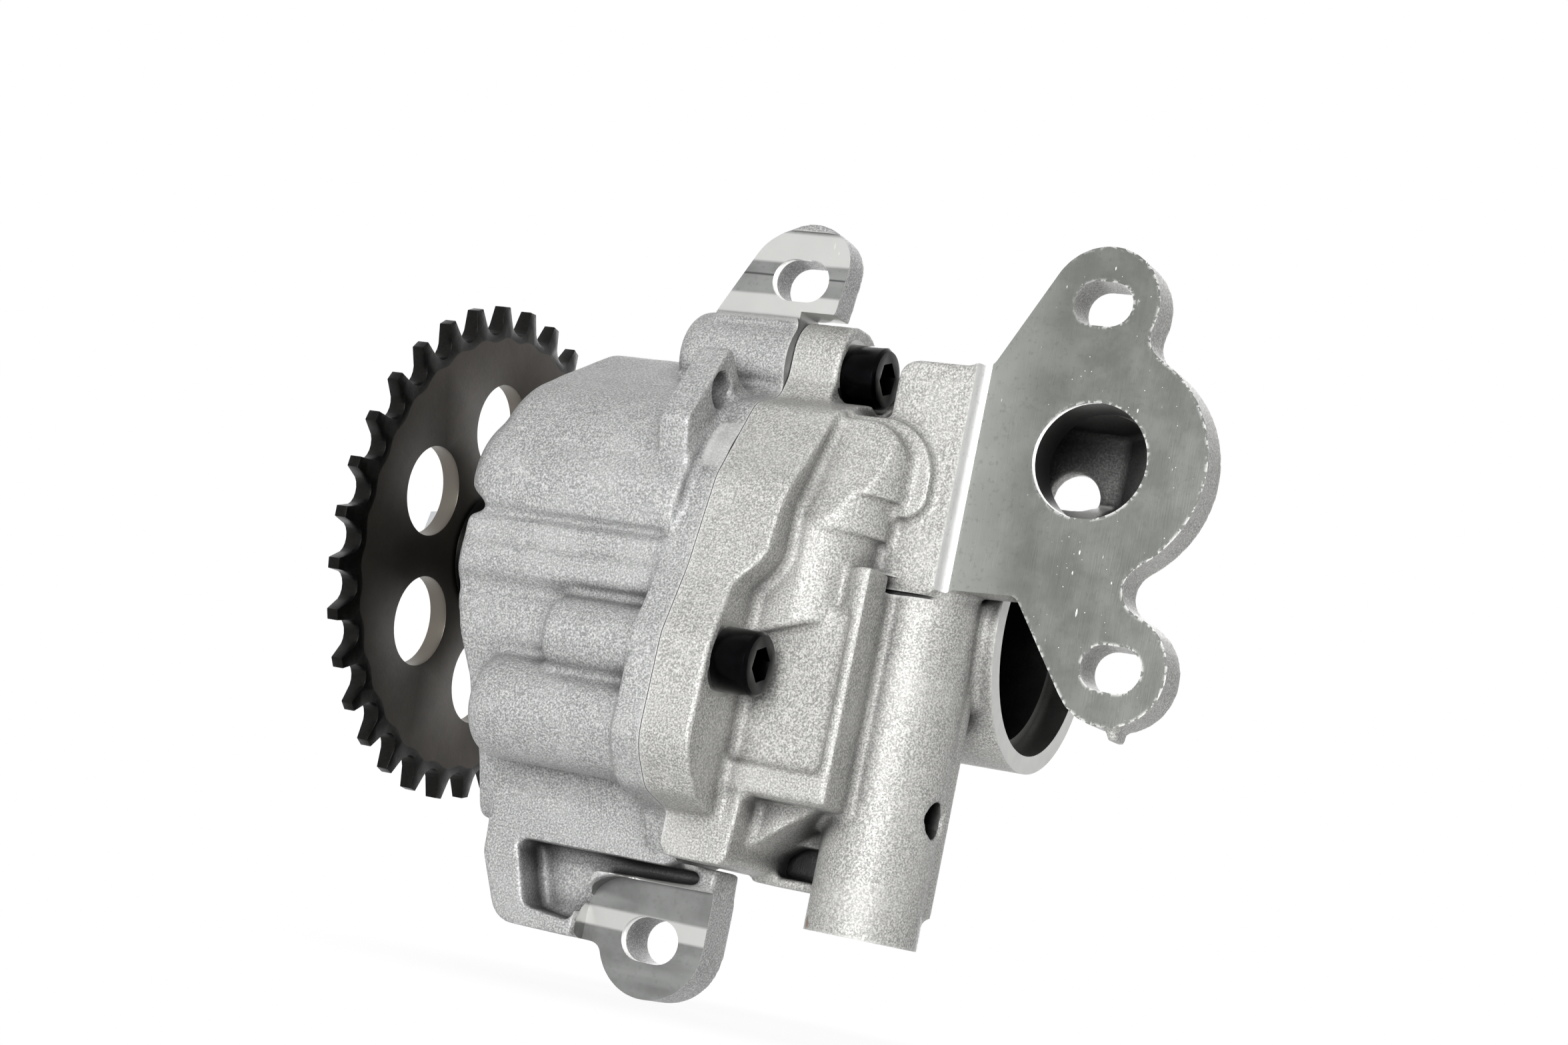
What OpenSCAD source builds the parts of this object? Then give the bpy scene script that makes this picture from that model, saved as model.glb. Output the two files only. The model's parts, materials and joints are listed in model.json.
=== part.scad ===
// Engine oil pump: chain sprocket, external gear pump, outlet flange,
// suction spigot and spring loaded relief valve.
// The drawing frame has its X axis on the drive shaft, X = 0 at the outer side of the sprocket,
// Z up and -Y towards the mounting side. datum() moves it to the outlet port.

/* [Sprocket] */
// Number of teeth of the chain sprocket
sprocket_teeth = 32; // [28:1:36]
// Chain pitch
chain_pitch = 8; // [7.9:0.05:8.1]
// Thickness of the sprocket disc
sprocket_t = 3.3; // [3:0.1:4]
// Number of lightening holes
lightening_holes = 6; // [5:1:7]
// Radius of a lightening hole
lightening_r = 7.55; // [6:0.05:7.6]
// Radius of the circle that the lightening holes lie on
lightening_pitch_r = 22; // [20:0.5:24]
// Radius of the sprocket hub
hub_r = 10.4; // [9:0.1:11]

/* [Gear set] */
// Module of the pump gears
gear_module = 2; // [1.9:0.05:2]
// Number of teeth of each pump gear
gear_teeth = 12; // [12:1:12]
// Width of the pump gears
gear_w = 33.9; // [30:0.1:33.9]
// Radius of the drive shaft
shaft_r = 6; // [5.5:0.1:6]

/* [Outlet flange] */
// Thickness of the outlet flange plate
flange_t = 7; // [6:0.5:8]
// Radius of the outlet port
outlet_r = 9; // [8:0.1:9.5]
// Width of a fixing slot
slot_w = 7; // [6.6:0.1:7.4]
// Length of a fixing slot from end to end
slot_l = 9.6; // [9:0.1:10]

/* [Suction spigot] */
// Outer radius of the suction spigot
suction_r = 20.8; // [20:0.1:21]
// Radius of the counterbore at its mouth
suction_mouth_r = 17.9; // [17.5:0.1:18.2]

/* [Relief valve] */
// Radius of the relief valve tube
valve_r = 8.85; // [8.5:0.05:9]
// Radius of the relief valve bore
valve_bore_r = 5.5; // [5.2:0.05:5.6]

/* [Hidden] */
$fn = 64;

// Stations along the drive shaft
hub_end = 13;
nose_start = 16;
body_start = 22;
chamber_start = 30;
lug_start = 54;
rim_start = 58.8;
seam = 64;
seat = 72.5;
ridge_end = 82;
flange_edge = 97;
suction_start = 79.5;
spigot_floor = 83.5;
suction_end = 104;
duct_end = 128.8;

// Planes across the mounting side
mount_y = -20;
duct_y = -22.6;

// Outlet port, fixing slots and ears, as [x, z] in the mounting plane
outlet = [117.3, 25.2];
slot_high = [114.6, 49.6];
slot_low = [126.7, -5.6];
ear_high = [63, 48.8];
ear_low = [60.7, -58.6];
core_window = [106, 23.4];

// Axes along X, as [y, z]
idler_angle = 152;
idler_dist = gear_module * gear_teeth;
idler = idler_dist * [cos(idler_angle), sin(idler_angle)];
screw_high = [-14, 35.5];
screw_low = [-37.1, -14.9];
screws_rear = [[17, 19], [15, -26]];
dowels = [[-33.6, -27.3], [8, 27]];
suction = [9.7, -0.2];
lug_hole = [-31.6, 27.2];

// Relief valve axis along Z, as [x, y], and its stations
valve = [92.4, -13];
valve_bottom = -52;
valve_seat = -2;
spring_top = -6.2;
cap_top = -45;

run_gap = 0.03;
head_r = 5;
head_h = 6;
screw_r = 3;
tap_r = 3.05;
clear_r = 3.3;
boss_r = 7;

// Drive end of the shaft, and the angles of a tooth and a hole of the sprocket
spigot_r = 5;
spigot_flat = 4;
tooth_phase = 2.4;
hole_phase = 42.3;

// Gear set
gear_start = chamber_start + 0.05;
pressure_angle = 25;
tooth_slack = 0.14;
tip_r = gear_module * (gear_teeth / 2 + 1);
pitch_r = gear_module * gear_teeth / 2;
base_r = pitch_r * cos(pressure_angle);
root_r = pitch_r - 1.25 * gear_module;
tooth_half = 90 / gear_teeth - tooth_slack / 2 / pitch_r * 180 / PI;
flank_radii = [for (k = [0:5]) base_r + (tip_r - base_r) * k / 5];
chamber_r = tip_r + 0.08;

// Helpers: extrude a [y, z] outline along X, an [x, z] outline along Y, an [x, y] one along Z
module along_x(a, b) translate([a, 0, 0]) rotate([90, 0, 90]) linear_extrude(b - a) children();
module along_y(a, b) translate([0, b, 0]) rotate([90, 0, 0]) linear_extrude(b - a) children();
module along_z(a, b) translate([0, 0, a]) linear_extrude(b - a) children();
module rod_x(c, r, a, b) translate([a, c[0], c[1]]) rotate([0, 90, 0]) cylinder(h = b - a, r = r);
module rod_y(c, r, a, b) translate([c[0], b, c[1]]) rotate([90, 0, 0]) cylinder(h = b - a, r = r);
module rod_z(c, r, a, b) translate([c[0], c[1], a]) cylinder(h = b - a, r = r);
module datum() translate([-outlet[0], -mount_y, -outlet[1]]) children();

function unit(v) = v / norm(v);
function turn(a) = a > 180 ? a - 360 : a < -180 ? a + 360 : a;
function arc(c, r, a, b, n = 12) = [for (i = [0:n]) c + r * [cos(a + (b - a) * i / n), sin(a + (b - a) * i / n)]];

// One rounded corner q between its neighbours p and s
function corner(p, q, s, r) =
  let (u = unit(p - q), v = unit(s - q), half = acos(u * v) / 2,
       c = q + unit(u + v) * r / sin(half),
       f = q + u * r / tan(half), g = q + v * r / tan(half),
       a = atan2(f[1] - c[1], f[0] - c[0]),
       d = turn(atan2(g[1] - c[1], g[0] - c[0]) - a))
  arc(c, r, a, a + d, ceil(abs(d) / (r > 4 ? 9 : 18)));

// Outline from corners written as [x, y, radius]
function rounded(pts) = let (n = len(pts))
  [for (i = [0:n - 1])
    let (p = pts[(i + n - 1) % n], q = pts[i], s = pts[(i + 1) % n])
    each q[2] > 0 ? corner([p[0], p[1]], [q[0], q[1]], [s[0], s[1]], q[2]) : [[q[0], q[1]]]];

// Centre of a circle of radius f that touches two circles from outside, on the left of the line c to d
function touching(c, r, d, s, f) =
  let (l = norm(d - c), a = r + f, b = s + f, x = (a * a - b * b + l * l) / (2 * l),
       h = sqrt(a * a - x * x), u = (d - c) / l)
  c + x * u + h * [-u[1], u[0]];
function angle_to(c, d) = atan2(d[1] - c[1], d[0] - c[0]);

// Cast outline of the gear case, as [y, z, radius], from the top round the mounting side.
// A valley at the height groove parts the gear lobe from the ribs below it.
groove = 3.3;
body_outline = [[14, 29, 10], [-10, 36.2, 9], [-27, 27.5, 8], [-36.5, 17.5, 7], [-40, 9, 5], [-36.4, groove, 1],
  [-38.9, 1, 1.5], [-38.6, -2, 1], [-39.7, -3.6, 1.5], [-39.4, -6.8, 2], [-36.6, -9.2, 1.5], [-37.4, -11.6, 1.5],
  [-36.8, -17, 4], [-34.6, -22, 5], [-31.7, -28, 5], [-26.3, -35, 4], [-22, -45, 3], [8, -45, 5], [19, -33, 5],
  [22, 10, 8]];

// Joint face outline, proud of the gear case
rim_outline = [[19, 31, 9], [-5, 37, 4], [-8, 43.3, 6], [-19.6, 43.3, 6], [-19.8, 33, 3], [-21.5, 29.2, 3],
  [-28.6, 26.6, 5], [-36.5, 13, 6], [-39.5, -2, 6], [-43.3, -13, 6], [-43.6, -30, 8], [-38.2, -36.2, 5],
  [-28.5, -39, 4], [-24.3, -45.3, 3], [10, -45.3, 5], [24, -33, 6], [26, 12, 8]];

module slot_ends(c, w, l, a, b) for (s = [-1, 1]) rod_y([c[0] + s * (l - w) / 2, c[1]], w / 2, a, b);

// A fixing slot through a plate between y = a and y = b
module slot_cut(c, a, b) {
  slot_ends(c, slot_w, slot_l, a, b);
  translate([c[0] - (slot_l - slot_w) / 2, a, c[1] - slot_w / 2]) cube([slot_l - slot_w, b - a, slot_w]);
}

// Boss along X with a rounded far end
module boss_x(c, r, a, b, round = 3) translate([a, c[0], c[1]]) rotate([90, 0, 90])
  rotate_extrude() polygon(concat([[0, 0]], arc([r - round, round], round, -90, 0, 5), [[r, b - a], [0, b - a]]));

// Gear case: body with lobes, rim, bosses, ears and lug
module pump_housing() color("lightgray") datum() difference() {
  union() {
    case_body();
    along_x(rim_start, seam) polygon(rounded(rim_outline));
    boss_x([0, 0], 12, nose_start, chamber_start, 2);
    boss_x(screw_high, 8, 43.5, seam);
    boss_x(screw_low, 6, 42.5, seam, 2);
    boss_x(dowels[0], 8.4, 31, seam, 3);
    for (c = concat(screws_rear, [dowels[1]])) boss_x(c, boss_r, 43, seam);
    lug();
    top_ear();
    bottom_bracket();
  }
  for (c = [[0, 0], idler]) rod_x(c, chamber_r, chamber_start, seam + 1);
  pump_ports(seam - 12, seam + 1);
  rod_x([0, 0], 7.5, nose_start - 1, chamber_start + 1);
  rod_x(idler, 5, chamber_start - 6, chamber_start + 1);
  for (c = concat([screw_high, screw_low], screws_rear)) rod_x(c, tap_r, seam - 18, seam + 1);
  for (c = dowels) rod_x(c, 4, seam - 6, seam + 1);
  bracket_cuts();
  slot_cut(ear_high, mount_y - 9, mount_y + 12);
  slot_cut(ear_low, mount_y - 9, mount_y + 16);
  rod_x(lug_hole, 3, lug_start - 1, rim_start + 0.5);
  along_y(-45, -28) polygon([[body_start - 3, groove + 4], [body_start + 3.5, groove], [body_start - 3, groove - 4]]);
}

module case_body() {
  along_x(body_start + 4, rim_start + 1) polygon(rounded(body_outline));
  boss_x(idler, 17, body_start, rim_start, 6);
  boss_x([0, 0], 18.5, body_start + 1.3, chamber_start + 9, 4.5);
  intersection() {
    boss_x([-27, 8], 12.5, body_start - 1.5, rim_start + 0.5, 5);
    along_y(-45, 0) polygon([[10, groove], [70, groove], [70, 30], [10, 30]]);
  }
  rib_end();
}

// Round end of the ribs below the gear lobe
module rib_end() intersection() {
  along_x(body_start, chamber_start + 10) polygon(rounded(body_outline));
  along_z(-30, groove) polygon(rounded([[body_start, -41, 5], [50, -41, 0], [50, -10, 0], [body_start, -10, 0]]));
  along_y(-45, -5) polygon([[body_start, groove], [body_start, -8], [body_start + 4, -24], [50, -24], [50, groove]]);
}

// Suction and delivery pockets beside the mesh of the gears
module pump_ports(a, b) {
  rod_x([-15, 19], 6, a, b);
  rod_x([-8, -11], 6, a, b);
}

// Pointed lug with a small hole, square to the shaft
module lug() along_x(lug_start, rim_start + 0.5)
  polygon(rounded([[-18, 22, 0], [-22, 29, 1], [-26.8, 30.2, 3], [-31.5, 34.9, 1.5], [-40.4, 20.6, 1.5],
    [-38.9, 16.4, 1], [-37.4, 12, 0], [-30, 10, 0], [-25, 10, 0]]));

module top_ear() {
  along_y(mount_y, mount_y + 6) polygon(rounded([[48, 40, 0], [48.5, 42, 0], [55, 54.5, 8], [63.5, 60.2, 8],
    [71.2, 54.5, 6], [70, 43.6, 0], [seam, 43.6, 0], [seam, 40, 0]]));
}

module bottom_bracket() {
  along_y(-24, -9) polygon(rounded([[29, -40, 0], [29.2, -50, 3], [34, -60.4, 5], [52, -60.6, 0],
    [ear_low[0] - 5, -50, 0], [63.8, -46, 0], [63.8, -40, 0]]));
  along_y(mount_y, mount_y + 8) polygon(concat([[50, -44], [50, -60.4]],
    arc(ear_low, 9.2, 195, 360, 14), [[69.9, -52], [69.6, -45.9], [seam - 0.1, -45.9], [seam - 0.1, -44]]));
}

// Framed pocket and milled fixing face of the lower bracket
module bracket_cuts() {
  along_y(-25, mount_y) polygon(rounded([[48.5, -62, 0], [48.5, -49.8, 6], [76, -49.4, 0], [76, -70, 0], [48.5, -70, 0]]));
  along_y(-25, -17) polygon(rounded([[35.4, -47, 1], [39, -57.2, 1.5], [47.5, -58.2, 1], [50.2, -49.6, 0],
    [66.5, -48.8, 0], [66.8, -46.8, 1]]));
}

// Cover casting, in three nodes: gear cover with the relief valve tube, outlet flange and suction spigot
module pump_cover() color("silver") datum() difference() {
  union() {
    along_x(seam, seat) polygon(rounded(rim_outline));
    cover_ridge();
    cover_block();
    lower_frame();
    duct_front();
    rod_x(suction, suction_r, suction_start, spigot_floor + 0.5);
    rod_x([3, -4], 14, seat - 1, suction_start + 1);
    rod_z(valve, valve_r, valve_bottom, 2.6);
    translate([valve[0] + 6, -10, -46.8]) cube([2.7, 2.5, 49]);
    valve_web();
  }
  rod_x(suction, suction_r, spigot_floor, suction_end);
  rod_x([0, 0], 7.5, seam - 1, 78);
  rod_x(idler, 5, seam - 1, seam + 6);
  pump_ports(seam - 1, suction_start + 5);
  duct_cavity();
  for (c = concat([screw_high, screw_low], screws_rear)) rod_x(c, clear_r, seam - 1, seat + 1);
  for (c = concat([screw_high, screw_low], screws_rear)) rod_x(c, head_r + 0.8, seat, seat + head_h + 0.6);
  for (c = dowels) rod_x(c, 4, seam - 1, seam + 5);
  relief_bores();
  translate([0, 0, -32]) rod_x([valve[1], 0], 2.9, valve[0], valve[0] + 14);
  rod_z(valve, valve_bore_r + 0.6, valve_bottom + 1, valve_bottom + 2.2);
}

// Bore of the relief valve, its inlet from the duct and its return into the suction chamber
module relief_bores() {
  rod_z(valve, valve_bore_r, valve_bottom - 1, valve_seat);
  rod_z(valve, 3.5, valve_seat - 1, 16);
  rod_y([valve[0], -9], 2.5, valve[1], 0);
}

module outlet_flange() color("silver") datum() difference() {
  union() {
    along_y(mount_y, mount_y + flange_t) polygon(flange_outline);
    duct_elbow();
  }
  duct_cavity();
  rod_x(suction, suction_r, flange_edge - 1, duct_end + 1);
  rod_y(outlet, outlet_r, mount_y - 1, mount_y + flange_t + 1);
  rod_y(core_window, 4.3, 0, 9);
  for (c = [slot_high, slot_low]) slot_cut(c, mount_y - 1, mount_y + flange_t + 1);
}

module suction_spigot() color("silver") datum() difference() {
  rod_x(suction, suction_r, spigot_floor, suction_end);
  rod_x(suction, 16.3, spigot_floor - 1, suction_end + 1);
  rod_x(suction, suction_mouth_r, 99, suction_end + 1);
  relief_bores();
}

flange_top = touching(slot_high, 9.1, outlet, 18.5, 4);
flange_bottom = touching(outlet, 18.5, slot_low, 8.8, 4);
flange_outline = concat([[flange_edge, 2.6], [109.6, 3.2]],
  arc(slot_low, 8.8, 212, 360 + angle_to(slot_low, flange_bottom), 14),
  arc(flange_bottom, 4, 360 + angle_to(flange_bottom, slot_low), angle_to(flange_bottom, outlet), 6),
  arc(outlet, 18.5, angle_to(outlet, flange_bottom), angle_to(outlet, flange_top), 16),
  arc(flange_top, 4, 360 + angle_to(flange_top, outlet), angle_to(flange_top, slot_high), 6),
  arc(slot_high, 9.1, angle_to(slot_high, flange_top), 148, 14), [[98.6, 38], [flange_edge, 38]]);

// Stepped edge of the cover beside the gear lobes
module cover_ridge() intersection() {
  along_x(seam, ridge_end) polygon(rounded([[-6, 33, 4], [-21.5, 29.2, 3], [-28.6, 26.6, 5], [-36.5, 13, 6],
    [-39.5, -2, 6], [-40.5, -12, 0], [-6, -12, 0]]));
  along_y(-45, -8) polygon(rounded([[60, 40, 0], [78.8, 40, 0], [78, 22, 2], [76.5, 9.5, 3], [76.6, 1.6, 4],
    [71.3, -5.2, 3], [60, -9, 0]]));
}

// Round topped block beside the ridge, with a thin plate round its foot and a tray below it
module cover_block() {
  along_z(-34, -4) polygon(rounded([[66, 4, 0], [66, tray_y, 3], [frame_x - 0.5, tray_y, 1.5], [frame_x - 0.5, 4, 0]]));
  along_z(-4, 3) polygon([[80, 0], [80, -24], [frame_x - 1.8, frame_y], [frame_x, frame_y], [frame_x, 0]]);
  intersection() {
    union() {
      intersection() {
        along_z(-12, 15) block_outline(87.2);
        along_y(-40, 5) polygon([[66, -11], [74, -9.5], [90, -4], [90, 16], [66, 16]]);
      }
      along_z(8, 15) block_outline(88.9);
      along_z(14, 26.2) block_outline(91);
    }
    along_x(66, 96) polygon([[-31.8, -12], [-31.8, 9], [-27.8, 23.5], [-27, 26.2], [5, 26.2], [5, -12]]);
    along_y(-40, 5) polygon(rounded([[60, -12, 0], [91, -12, 0], [91, 26.2, 8], [60, 26.2, 0]]));
  }
  along_y(-24.3, 4) polygon(rounded([[70, 12, 0], [94, 12, 4], [94, 27.4, 9.5], [70, 27.4, 0]]));
}

// Plan of the block, as [x, y], up to its right side, with a round front edge
module block_outline(right) polygon(rounded([[70, 4, 0], [70, -32, 4], [right, -32, 10], [right, 4, 0]]));

tray_y = -29.2;
frame_x = 90.1;
frame_y = -30.6;

// Raised frame round the tray, and the foot of the cover
module lower_frame() {
  for (z = [[-31.2, tray_y], [-33.6, -31.8]]) along_z(z[0], z[1])
    polygon(rounded([[66, 0, 0], [66, frame_y, 2], [frame_x, frame_y, 1.2], [frame_x, 0, 0]]));
  along_z(-33.6, 3) polygon([[frame_x - 1.8, 0], [frame_x - 1.8, frame_y], [frame_x, frame_y], [frame_x, 0]]);
  along_y(-30, -8) polygon(rounded([[seam, -30, 0], [seam, -45.4, 2], [75.5, -45.4, 2], [76.5, -30, 0]]));
  along_y(-24, -8) polygon([[74, -30], [74, -43], [86, -34], [86, -30]]);
}

// Delivery duct beside the flange
module duct_front() {
  along_y(duct_y, 8) polygon(rounded([[72, 1.3, 0], [flange_edge, 1.3, 0], [flange_edge, 37.4, 0],
    [84.3, 37.4, 3], [84.3, 25.5, 0], [72, 25.5, 0]]));
  along_y(-7.5, 8) polygon(rounded([[72, 20, 0], [86, 20, 0], [86, 37.4, 0], [72, 37.4, 4]]));
}

// Elbow behind the flange, narrower towards its back
module duct_elbow() intersection() {
  along_y(mount_y + flange_t - 0.5, 8) polygon(rounded([[flange_edge, 9, 0], [duct_end, 9, 10], [duct_end, 38, 12],
    [flange_edge, 37.4, 0]]));
  duct_plan(flange_edge, duct_end, 8, 115);
}

// Plan of the elbow, as [x, y], from its left side to the slanted right side
module duct_plan(left, right, back, back_right) along_z(0, 45)
  polygon([[left, mount_y], [right, mount_y], [right, -11], [back_right, back], [left, back]]);

module duct_cavity() difference() {
  intersection() {
    along_y(-18.5, 5) polygon(rounded([[82, 12.5, 4], [duct_end - 2.4, 12.5, 8], [duct_end - 2.4, 34.5, 10],
      [82, 34.5, 4]]));
    duct_plan(80, duct_end - 2.4, 5, 114);
  }
  along_y(-19, mount_y + flange_t) translate([flange_edge, 0]) square([40, 60]);
  rod_x(suction, suction_r + 2.4, suction_start, duct_end + 1);
}

// Web that ties the valve tube to the lower frame, with a pocket near its foot
module valve_web() difference() {
  along_y(-12, -3) polygon([[70, -20], [71.6, -46.4], [88, -46.4], [90, -20]]);
  along_y(-13, -6) polygon([[73.2, -39.6], [73.2, -44.8], [90, -44.8], [90, -39.6]]);
}

// Outline of a roller chain sprocket: round seats joined by straight flanks
chain_r = chain_pitch / 2 / sin(180 / sprocket_teeth);
chain_tip_r = chain_r + 2.2;
sprocket_outline = [for (i = [0:sprocket_teeth - 1])
  let (s = 180 / sprocket_teeth, g = tooth_phase + (2 * i + 1) * s, u = [cos(g), sin(g)])
  each concat([chain_tip_r * [cos(g - s + 1.2), sin(g - s + 1.2)]],
    arc(chain_r * u, 2.55, g + 242, g + 118, 6), [chain_tip_r * [cos(g + s - 1.2), sin(g + s - 1.2)]])];

// Sprocket disc with bevelled teeth, lightening holes and a hub with two drive flats
module sprocket() color("dimgray") datum() difference() {
  union() {
    intersection() {
      along_x(-0.1, sprocket_t + 0.1) polygon(sprocket_outline);
      rotate([90, 0, 90]) rotate_extrude($fn = 96)
        polygon([[0, 0], [37.4, 0], [44, 0.7], [44, sprocket_t - 0.7], [37.4, sprocket_t], [0, sprocket_t]]);
    }
    rod_x([0, 0], hub_r, sprocket_t - 0.1, hub_end);
  }
  spigot(-1, hub_end + 1, 0.02);
  for (i = [0:lightening_holes - 1]) let (a = hole_phase + i * 360 / lightening_holes)
    rod_x(lightening_pitch_r * [cos(a), sin(a)], lightening_r, -1, sprocket_t + 1);
}

// Shaft end with two flats, larger by gap all round
module spigot(a, b, gap = 0) intersection() {
  rod_x([0, 0], spigot_r + gap, a, b);
  translate([a, -spigot_flat - gap, -spigot_r - 1]) cube([b - a, 2 * (spigot_flat + gap), 2 * spigot_r + 2]);
}

module sprocket_bolt() color("dimgray") datum() {
  rod_x([0, 0], 4, -1.6, 18);
  along_x(-6.9, -1.6) rotate(15) circle(r = 13 / sqrt(3), $fn = 6);
}

module sprocket_washer() color("gray") datum() difference() {
  rod_x([0, 0], 9, -1.6, 0);
  rod_x([0, 0], 4.2, -2, 1);
}

module drive_shaft() color("silver") datum() difference() {
  union() {
    spigot(0.6, hub_end + 0.5);
    rod_x([0, 0], shaft_r, hub_end, 77.6);
  }
  rod_x([0, 0], 4.05, -1, 20);
  key_bar(0.02);
}

// Flat key between the drive shaft and the drive gear
module key_bar(gap = 0) translate([chamber_start + 6 - gap, -1.5 - gap, shaft_r - 1.5 - gap])
  cube([22 + 2 * gap, 3 + 2 * gap, 3 + 2 * gap]);

module drive_gear_key() color("gray") datum() key_bar();

// Involute gear outline with one tooth centred on angle a
function inv(x) = tan(x) - x * PI / 180;
function flank(r) = tooth_half + (inv(pressure_angle) - inv(acos(min(1, base_r / r)))) * 180 / PI;
function polar(r, a) = r * [cos(a), sin(a)];
function gear_outline(a) = [for (i = [0:gear_teeth - 1]) let (g = a + i * 360 / gear_teeth)
  each concat([polar(root_r, g - flank(base_r) - 0.6)],
    [for (r = flank_radii) polar(r, g - flank(r))],
    [for (k = [len(flank_radii) - 1:-1:0]) let (r = flank_radii[k]) polar(r, g + flank(r))],
    [polar(root_r, g + flank(base_r) + 0.6)])];

module drive_gear() color("slategray") datum() difference() {
  along_x(gear_start, gear_start + gear_w) polygon(gear_outline(idler_angle));
  rod_x([0, 0], shaft_r + 0.01, gear_start - 1, seam + 1);
  key_bar(0.02);
}

module idler_gear() color("slategray") datum() difference() {
  translate([0, idler[0], idler[1]]) along_x(gear_start, gear_start + gear_w)
    polygon(gear_outline(idler_angle + 180 + 180 / gear_teeth));
  rod_x(idler, 6.6, gear_start - 1, seam + 1);
}

// Plain bush along X
module bush(c, outer, inner, a, b) difference() {
  rod_x(c, outer, a, b);
  rod_x(c, inner, a - 1, b + 1);
}

module idler_bush() color("peru") datum() bush(idler, 6.59, 5 + run_gap, gear_start + 0.2, gear_start + gear_w - 0.2);
module idler_shaft() color("silver") datum() rod_x(idler, 4.99, chamber_start - 5.8, seam + 5.8);
module front_bush() color("peru") datum() bush([0, 0], 7.49, shaft_r + run_gap, nose_start + 0.5, chamber_start - 0.3);
module rear_bush() color("peru") datum() bush([0, 0], 7.49, shaft_r + run_gap, seam + 0.3, 77.8);
module dowel_sleeves() color("silver") datum() for (c = dowels) bush(c, 3.99, clear_r, seam - 5.5, seam + 4.5);

// Socket head cap screw seated on the cover
module cap_screw(c) difference() {
  union() {
    rod_x(c, screw_r, seam - 16, seat + 0.1);
    translate([seat, c[0], c[1]]) rotate([0, 90, 0]) cylinder(h = head_h - 0.5, r = head_r);
    translate([seat + head_h - 0.5, c[0], c[1]]) rotate([0, 90, 0]) cylinder(h = 0.5, r1 = head_r, r2 = head_r - 0.5);
  }
  translate([0, c[0], c[1]]) along_x(seat + head_h - 3.2, seat + head_h + 1) rotate(20) circle(r = 5 / sqrt(3), $fn = 6);
}

module upper_cover_screw() color("black") datum() cap_screw(screw_high);
module lower_cover_screw() color("black") datum() cap_screw(screw_low);
module rear_cover_screws() color("black") datum() for (c = screws_rear) cap_screw(c);

// Hollow relief piston, closed at its pressure face
module relief_piston() color("silver") datum() difference() {
  rod_z(valve, valve_bore_r - run_gap, spring_top - 10, valve_seat - 0.05);
  rod_z(valve, 4.6, spring_top - 11, spring_top);
}

// Compression spring: round wire swept along a helix
spring_turns = 8;
wire_r = 0.65;
coil_r = 3.7;
rings_per_turn = 10;
wire_sides = 8;
ring_count = spring_turns * rings_per_turn;
spring_low = cap_top - 1 + wire_r;
spring_rise = spring_top - wire_r - spring_low;
spring_points = [for (i = [0:ring_count]) let (a = i * 360 / rings_per_turn, z = spring_low + spring_rise * i / ring_count)
  for (k = [0:wire_sides - 1]) let (b = k * 360 / wire_sides, r = coil_r + wire_r * cos(b))
    [valve[0] + r * cos(a), valve[1] + r * sin(a), z + wire_r * sin(b)]];
spring_faces = concat([[for (k = [0:wire_sides - 1]) k]],
  [for (i = [0:ring_count - 1]) for (k = [0:wire_sides - 1]) let (n = (k + 1) % wire_sides, p = i * wire_sides)
    [p + k, p + wire_sides + k, p + wire_sides + n, p + n]],
  [[for (k = [wire_sides - 1:-1:0]) ring_count * wire_sides + k]]);
module relief_spring() color("silver") datum() polyhedron(spring_points, spring_faces, convexity = 10);

// Spring seat with a locating pip
module relief_cap() color("silver") datum() {
  rod_z(valve, valve_bore_r - 0.05, valve_bottom + 2.2, cap_top - 1);
  rod_z(valve, 2.6, valve_bottom + 3, cap_top + 1);
}

module relief_circlip() color("silver") datum() difference() {
  rod_z(valve, valve_bore_r + 0.55, valve_bottom + 1.05, valve_bottom + 2.15);
  rod_z(valve, 4.2, valve_bottom, valve_bottom + 3);
  translate([valve[0], valve[1] - 1.5, valve_bottom]) cube([10, 3, 4]);
}

pump_housing();
pump_cover();
outlet_flange();
suction_spigot();
sprocket();
sprocket_bolt();
sprocket_washer();
drive_shaft();
drive_gear();
drive_gear_key();
idler_gear();
idler_shaft();
idler_bush();
front_bush();
rear_bush();
dowel_sleeves();
upper_cover_screw();
lower_cover_screw();
rear_cover_screws();
relief_piston();
relief_spring();
relief_cap();
relief_circlip();
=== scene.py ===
"""Looks of an engine oil pump: blasted castings with milled faces, blackened sprocket and screws."""

import json
import math

import bmesh
import bpy
from mathutils import Matrix, Vector


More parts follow.
